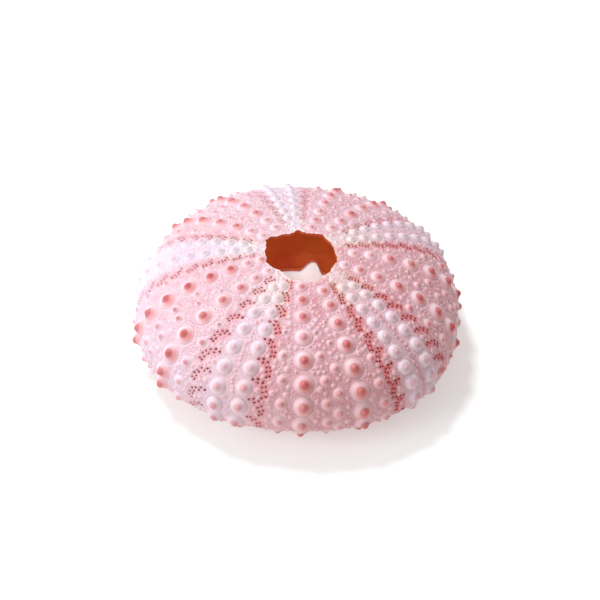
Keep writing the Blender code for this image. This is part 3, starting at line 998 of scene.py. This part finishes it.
def outer_material():
    nodes = Nodes("shell_outside")
    ground = nodes.mix(nodes.ramp(nodes.noise(260, 4), 0.35, 0.65, 0.0, 1.0), GROUND_PINK, GROUND_PALE)
    ground = nodes.coat(ground, ("pale_ground", GROUND_NARROW), ("seam", SEAM_PINK), ("areole", AREOLE_PALE),
                        ("groove", GROOVE_SHADE), ("band", BAND_RED))
    boss = nodes.coat(BOSS_WHITE, ("narrow", NARROW_WHITE), ("blush_and_shade", BOSS_PINK), ("halo", HALO_CORAL))
    tip = nodes.mix(nodes.ramp(nodes.noise(1100, 2), 0.42, 0.62, 0.0, 0.7), CORAL, CORAL_DARK)
    tip = nodes.coat(tip, ("pale_tip", CORAL_PALE))
    neck = nodes.coat(NECK_RED, ("narrow", NECK_GREY))
    pore = nodes.coat(PORE_DARK, ("hole_shade", PORE_HOLE_SHADE))
    colour = nodes.coat(ground, ("boss", boss), ("tip", tip), ("neck", neck), ("cream_and_rim_highlight", CROWN_CREAM),
                        ("painted_highlight", HIGHLIGHT_LAVENDER), ("warmth", WARM_TAN), ("pore", pore))
    limy(nodes, nodes.noise(1500, 3), colour, 0.42)
    nodes.shade({"Specular IOR Level": nodes.ramp(nodes.mark("pore"), 0.0, 1.0, 0.32, 0.0)})
    nodes.bump(nodes.noise(2600, 2), 0.09 * MM, 0.6)
    return nodes.material


def granule_material():
    nodes = Nodes("shell_granules")
    colour = nodes.coat(GRANULE_PINK, ("tint", GRANULE_PALE), ("pale_ground", GROUND_NARROW),
                        ("band", GRANULE_CORAL), ("painted_highlight", HIGHLIGHT_LAVENDER))
    limy(nodes, nodes.noise(1500, 3), colour, 0.55)
    nodes.shade({"Specular IOR Level": 0.2})
    return nodes.material


def inner_material():
    nodes = Nodes("shell_inside")
    wide = nodes.noise(150, 4)
    nodes.shade({
        "Base Color": nodes.mix(nodes.ramp(wide, 0.35, 0.65, 0.0, 1.0), INSIDE_BROWN, INSIDE_RUST),
        "Roughness": nodes.ramp(wide, 0.3, 0.7, 0.5, 0.7),
        # Painted glow: the emission stands in for light that comes through the thin wall
        "Emission Color": nodes.mix(nodes.ramp(nodes.noise(55, 2), 0.38, 0.62, 0.0, 1.0), GLOW_RED,
                                    GLOW_ORANGE),
        "Emission Strength": nodes.ramp(wide, 0.3, 0.7, 0.55, 0.80)})
    nodes.bump(nodes.noise(900, 3), 0.05 * MM, 0.5)
    return nodes.material


def from_narrow(turn):
    """Degrees from the middle of the nearest narrow field, by the fields' even places."""
    return np.abs(np.degrees(turn - FIRST_FIELD) % 72 - 36)


def nearest_narrow(turn):
    """Number of the nearest narrow field, and which of its sides a turn is on."""
    fields = (turn - FIRST_FIELD) / FIELD_STEP - 0.5
    nearest = np.rint(fields).astype(int)
    return nearest % 5, np.where(fields < nearest, 0, 1)


def closeness(turn, middle, half_width, first):
    """From 1 near a direction about the axis to 0 at the half width, both in degrees."""
    away = np.abs(short_way(turn - math.radians(middle)))
    return 1 - smooth(first, 1.0, away / math.radians(half_width))


def underside(length):
    return smooth(WIDEST - 2.5 * MM, WIDEST + 4 * MM, length)


def painted_highlight(length, turn, most):
    """How much painted highlight washes out the colours, most on the lit side of the shell and about its
    widest level.
    """
    share = 0.0
    for middle, half_width, strength in HIGHLIGHT_PLACES:
        share = np.maximum(share, strength * closeness(turn, middle, half_width, 0.2))
    outward = 0.45 + 0.55 * smooth(0.45, 0.95, upper_level(length))
    return most * outward * share * (1 - 0.5 * underside(length))


def most_highlight(turn):
    """How far the painted highlight pales the ground at most: farther in the narrow fields that
    FIELD_HIGHLIGHT lists.
    """
    bleached = np.array(FIELD_HIGHLIGHT)[nearest_narrow(turn)[0]]
    return GROUND_HIGHLIGHT + bleached * (1 - smooth(7.5, 10.5, from_narrow(turn)))


def pale_ground(turn):
    return 0.8 * (1 - smooth(7.0, 10.0, from_narrow(turn)))


def warmth(length, turn):
    """How much warmer and darker the colours are: on the underside as painted shade and warm bounce light,
    and towards WARM_SIDE below the crown.
    """
    near = closeness(turn, WARM_SIDE, WARM_WIDTH, 0.35)
    return np.maximum(0.42 * underside(length), 0.26 * near * smooth(0.35, 0.75, upper_level(length)))


def band_strength(turn):
    """How coral the ground is between the pores of the field and side that a turn belongs to."""
    return np.array(BAND_STRENGTHS)[nearest_narrow(turn)]


def band_marks(surface, features):
    """How near each point is to a pore, weighed by how coral that pore's band is."""
    band = np.zeros(len(surface.length))
    strength = band_strength(features.turn)
    for number in np.flatnonzero(features.kind == PORE):
        index, distance = surface.window(features.spot(number), 0.9 * MM)
        keep_larger(band, index, (1 - smooth(0.25 * MM, 0.68 * MM, distance)) * strength[number])
    return band


def seam_marks(turn, highlight_share):
    """Deeper pink along the middle of every field, less where the painted highlight washes it out."""
    from_middle = from_narrow(turn)
    from_wide = 36 - from_middle
    seam = np.maximum(0.7 * (1 - smooth(0.0, 1.6, from_middle)), 0.4 * (1 - smooth(0.0, 0.9, from_wide)))
    seam = np.maximum(seam, 0.3 * (1 - smooth(2.0, 9.0, from_wide)))
    return seam * (1 - np.minimum(1.3 * highlight_share, 1))


def surface_marks(surface, features):
    """The numbers that the outside's colours are mixed by."""
    length, turn, mark = surface.length, surface.turn, surface.mark
    highlight_share = painted_highlight(length, turn, 1.0)
    tint, shade = mark["tint"], mark["shade"]
    kinds = [surface.kind == kind for kind in (WIDE, NARROW, SIDE, SMALL)]
    highlight_reach = np.where(kinds[0], BOSS_HIGHLIGHT - GROUND_HIGHLIGHT, 0) + most_highlight(turn)
    tip = np.select(kinds, [0.18 + 0.82 * tint, 0.25 + 0.8 * tint, 0.4 + 0.5 * tint, 0.4 + 0.5 * tint], 0)
    neck = np.select(kinds, [0.35 + 0.5 * tint, 0.5, 0.4, 0], 0)
    upper = 1 - smooth(BODY.to_length(0.28), BODY.to_length(0.52), length)
    # Pinker bosses: partly their own colour, by tint and nearness to the crown, and partly painted shade on
    # the side away from the light
    blush_and_shade = np.select(kinds, [
        0.05 + 0.20 * tint ** 2 + shade * (0.15 + 0.45 * tint) + 0.6 * upper * tint,
        0.02 + (0.10 + 0.35 * tint) * shade,
        0.25 + 0.35 * tint + 0.2 * shade,
        0.3 + 0.6 * tint], 0)
    halo = np.select(kinds, [0.20 + 0.75 * tint, 0.2 * tint, 0.2 + 0.3 * tint, 0], 0)
    crown = 1 - smooth(BODY.to_length(0.20), BODY.to_length(0.40), length)
    rim_highlight = 1 - smooth(0.0, 0.35 * MM, length - hole_length(turn))
    return {
        "band": band_marks(surface, features) * (1 - 0.35 * np.minimum(highlight_share, 1)),
        "seam": seam_marks(turn, highlight_share),
        # painted shade in the grooves
        "groove": 0.70 * mark["groove"],
        "pale_ground": pale_ground(turn),
        "boss": mark["boss"],
        "areole": 0.5 * mark["areole"],
        "narrow": kinds[1].astype(float),
        "blush_and_shade": np.minimum(blush_and_shade, 1),
        "halo": mark["halo"] * halo,
        "tip": mark["tip"] * tip,
        "pale_tip": np.where(kinds[0], 0.75 * (1 - tint), 0.65 - 0.45 * tint),
        "neck": mark["neck"] * neck,
        # Cream near the crown in the narrow fields is the shell's own tint; the cream line along the
        # opening's edge is a painted highlight
        "cream_and_rim_highlight": np.maximum(crown * 0.35 * (1 - smooth(12, 18, from_narrow(turn))), 0.7 * rim_highlight),
        # painted highlight, less on the nipples
        "painted_highlight": painted_highlight(length, turn, highlight_reach) * (1 - 0.6 * mark["tip"]),
        "pore": 0.95 * mark["pore"],
        "hole_shade": mark["hole_shade"],
        "warmth": warmth(length, turn),
    }


def build_body(features, draws):
    """The whole shell as one closed mesh."""
    surface, outer_faces = outer_surface(features, draws)
    inner_length, inner_turn, inner_lift, inner_faces = inner_surface(surface.length[:HOLE_SIDES])
    outer_points = place(surface.length, surface.turn, surface.lift)
    inner_points = place(inner_length, inner_turn, inner_lift)
    shift = centre_on(outer_points, cad_box)
    start = len(outer_points)
    points = np.concatenate([outer_points, inner_points]) + shift
    walls = []
    for first, count in ((0, HOLE_SIDES), (HOLE_SIDES, MOUTH_SIDES)):
        corner = first + np.arange(count)
        following = first + (np.arange(count) + 1) % count
        one = np.stack([corner, following, following + start], axis=1)
        two = np.stack([corner, following + start, corner + start], axis=1)
        if first == 0:
            one, two = one[:, ::-1], two[:, ::-1]
        walls += [one, two]
    faces = np.concatenate([outer_faces, inner_faces[:, ::-1] + start] + walls)
    marks = surface_marks(surface, features)
    marks = {label: np.concatenate([values, np.zeros(len(inner_points))]) for label, values in marks.items()}
    face_material = np.zeros(len(faces))
    face_material[len(outer_faces):] = 1
    body = mesh_object("urchin_shell", points, faces, marks, (outer_material(), inner_material()),
                       face_material)
    body.data.set_sharp_from_angle(angle=RIM_ANGLE)
    return body, shift


def ring_granules(features, ground, draws, found):
    """The circle of granules that stands round each large tubercle."""
    for number in np.flatnonzero(features.kind <= SIDE):
        size = WIDE_CIRCLE_GRANULE if features.kind[number] == WIDE else CIRCLE_GRANULE
        reach = 1.06 * features.base[number] + 1.2 * size
        count = int(math.tau * reach / (2.2 * size))
        start = draws.uniform(0, math.tau)
        for step in range(count):
            angle = start + step * math.tau / count
            length = features.length[number] + reach * math.sin(angle)
            turn = features.turn[number] + reach * math.cos(angle) / features.radius[number]
            point = surface_point(length, turn)
            own = size * draws.uniform(0.85, 1.1)
            if ground.room(point) > own and free_of_edges(length, turn, own):
                ground.take(point, own)
                found.append((length, turn, own))


def granule_places(features, ground, draws):
    """Free places for granules: circles about the large tubercles first, then wherever there is room."""
    found = []
    ring_granules(features, ground, draws, found)
    start = BODY.to_length(0.09)
    for attempt in range(GRANULE_TRIES):
        length = draws.uniform(start, MOUTH)
        if draws.random() > BODY.radius_at(length) / BODY_RADIUS:
            continue
        turn = draws.uniform(0, math.tau)
        largest = LARGEST_GRANULE - GRANULE_RANGE * attempt / GRANULE_TRIES
        size = draws.uniform(largest - 0.05, largest) * MM
        point = surface_point(length, turn)
        if ground.room(point) >= size * 1.04 and free_of_edges(length, turn, 1.1 * size):
            ground.take(point, size)
            found.append((length, turn, size))
    return np.array(found).T


def granule_faces():
    """Triangles of one granule: a belt between its rings and a fan to its top."""
    outer, inner = (corners for _, _, corners in GRANULE_RINGS)
    faces = []
    low, high = 0, 0
    while low < outer or high < inner:
        if high >= inner or (low < outer and (low + 0.5) / outer <= (high + 0.5) / inner):
            faces.append((low % outer, (low + 1) % outer, outer + high % inner))
            low += 1
        else:
            faces.append((low % outer, outer + (high + 1) % inner, outer + high % inner))
            high += 1
    faces += [(outer + corner, outer + (corner + 1) % inner, outer + inner) for corner in range(inner)]
    return np.array(faces)[:, ::-1]


def build_granules(features, ground, draws, shift):
    """All granules as one mesh of small caps, their bases sunk in the ground."""
    length, turn, size = granule_places(features, ground, draws)
    radius = BODY.radius_at(length)
    rings = []
    for share, rise, corners in GRANULE_RINGS + GRANULE_TOP:
        angle = (np.arange(corners) + 0.5) * math.tau / corners
        along = length[:, None] + (share * size)[:, None] * np.sin(angle)
        swing = turn[:, None] + (share * size / radius)[:, None] * np.cos(angle)
        lift = rise * GRANULE_HEIGHT * size if rise else np.full(len(size), -GRANULE_SINK)
        rings.append(place(along, swing, lift[:, None] - recess(along)))
    points = np.concatenate(rings, axis=1)
    corners = points.shape[1]
    faces = granule_faces() + corners * np.arange(len(length))[:, None, None]
    chance = draws.random((len(length), 2))
    from_middle = from_narrow(turn)
    in_band = np.where((from_middle > 8.5) & (from_middle < 13.5), band_strength(turn), 0)
    in_seam = np.maximum(0, 1 - from_middle / 2.5) * np.maximum(0, 1 - 1.3 * painted_highlight(length, turn, 1.0))
    in_wide = chance[:, 1] * np.maximum(0, 1 - (36 - from_middle) / 9)
    # The granules take the same painted highlight
    marks = {"tint": chance[:, 0], "band": 0.5 * in_band + 0.35 * in_seam + 0.3 * in_wide,
             "pale_ground": pale_ground(turn), "painted_highlight": painted_highlight(length, turn, most_highlight(turn))}
    marks = {label: np.repeat(values, corners) for label, values in marks.items()}
    return mesh_object("granules", points.reshape(-1, 3) + shift, faces.reshape(-1, 3), marks,
                       (granule_material(),))


def add_camera(axis):
    data = bpy.data.cameras.new("camera")
    data.lens = CAMERA_LENS
    data.sensor_width = 36
    data.clip_start = 0.01
    camera = new_object("camera", data)
    back = Vector((0, -math.cos(CAMERA_ELEVATION), math.sin(CAMERA_ELEVATION)))
    tilt = Matrix.Rotation(math.pi / 2 - CAMERA_ELEVATION, 4, "X")
    roll = Matrix.Rotation(CAMERA_ROLL, 4, "Z")
    where = Matrix.Translation(Vector(CAMERA_TARGET) + Vector(axis) + back * CAMERA_DISTANCE)
    camera.matrix_world = where @ tilt @ roll
    bpy.context.scene.camera = camera


def aim(data, azimuth, elevation, centre):
    """Stands a light in a direction from a point and turns it to that point."""
    azimuth, elevation = math.radians(azimuth), math.radians(elevation)
    away = Vector((math.cos(azimuth) * math.cos(elevation), math.sin(azimuth) * math.cos(elevation),
                   math.sin(elevation)))
    light = new_object(data.name, data)
    light.location = away * LIGHT_DISTANCE + Vector(centre)
    light.rotation_euler = away.to_track_quat("Z", "Y").to_euler()


def area_light(name, azimuth, elevation, size, power, colour):
    data = bpy.data.lights.new(name, "AREA")
    data.shape = "DISK"
    data.size = size
    data.energy = power
    data.color = colour
    aim(data, azimuth, elevation, (0, 0, 12 * MM))


def beam_light(name, azimuth, elevation, radius, power):
    """A narrow soft beam through the crown opening onto the surface below."""
    data = bpy.data.lights.new(name, "SPOT")
    data.energy = power
    data.color = (0.97, 0.95, 1.0)
    data.spot_size = 2 * math.atan(radius / LIGHT_DISTANCE)
    data.spot_blend = 0.6
    data.shadow_soft_size = 4 * MM
    aim(data, azimuth, elevation, (0, -0.5 * MM, 23 * MM))


def add_lights():
    area_light("key", KEY_AZIMUTH, 58, 0.16, 3.3, (0.90, 0.95, 1.0))
    area_light("side_fill", 208, 24, 0.35, 2.3, (0.92, 0.95, 1.0))
    beam_light("opening_beam", 265, 51, 4.6 * MM, 12.0)
    world = bpy.data.worlds.new("studio")
    world.use_nodes = True
    background = world.node_tree.nodes["Background"]
    background.inputs["Color"].default_value = (1, 0.975, 0.975, 1)
    background.inputs["Strength"].default_value = 0.58
    bpy.context.scene.world = world
    bpy.context.scene.view_settings.view_transform = "Standard"


def add_floor():
    mesh = bpy.data.meshes.new("floor")
    corners = [(x * FLOOR_HALF, y * FLOOR_HALF, 0) for x, y in ((-1, -1), (1, -1), (1, 1), (-1, 1))]
    mesh.from_pydata(corners, [], [(0, 1, 2, 3)])
    floor = new_object("floor", mesh)
    nodes = Nodes("floor_white")
    nodes.shade({"Base Color": (0.68, 0.68, 0.66, 1), "Roughness": 0.9,
                 "Emission Color": (1, 1, 1, 1), "Emission Strength": 0.34})
    mesh.materials.append(nodes.material)


def main():
    draws = np.random.default_rng(SEED)
    features = Features()
    ground = Ground()
    add_rows(features, ground, draws)
    add_pores(features, ground, draws)
    add_side_knobs(features, ground, draws)
    add_seam_knobs(features, ground, draws)
    add_small_knobs(features, ground, draws)
    features.finish()
    body, shift = build_body(features, draws)
    granules = build_granules(features, ground, draws, shift)
    for piece in (body, granules):
        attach(piece, "root")
    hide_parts("shell")
    add_camera(shift)


main()
add_floor()
add_lights()
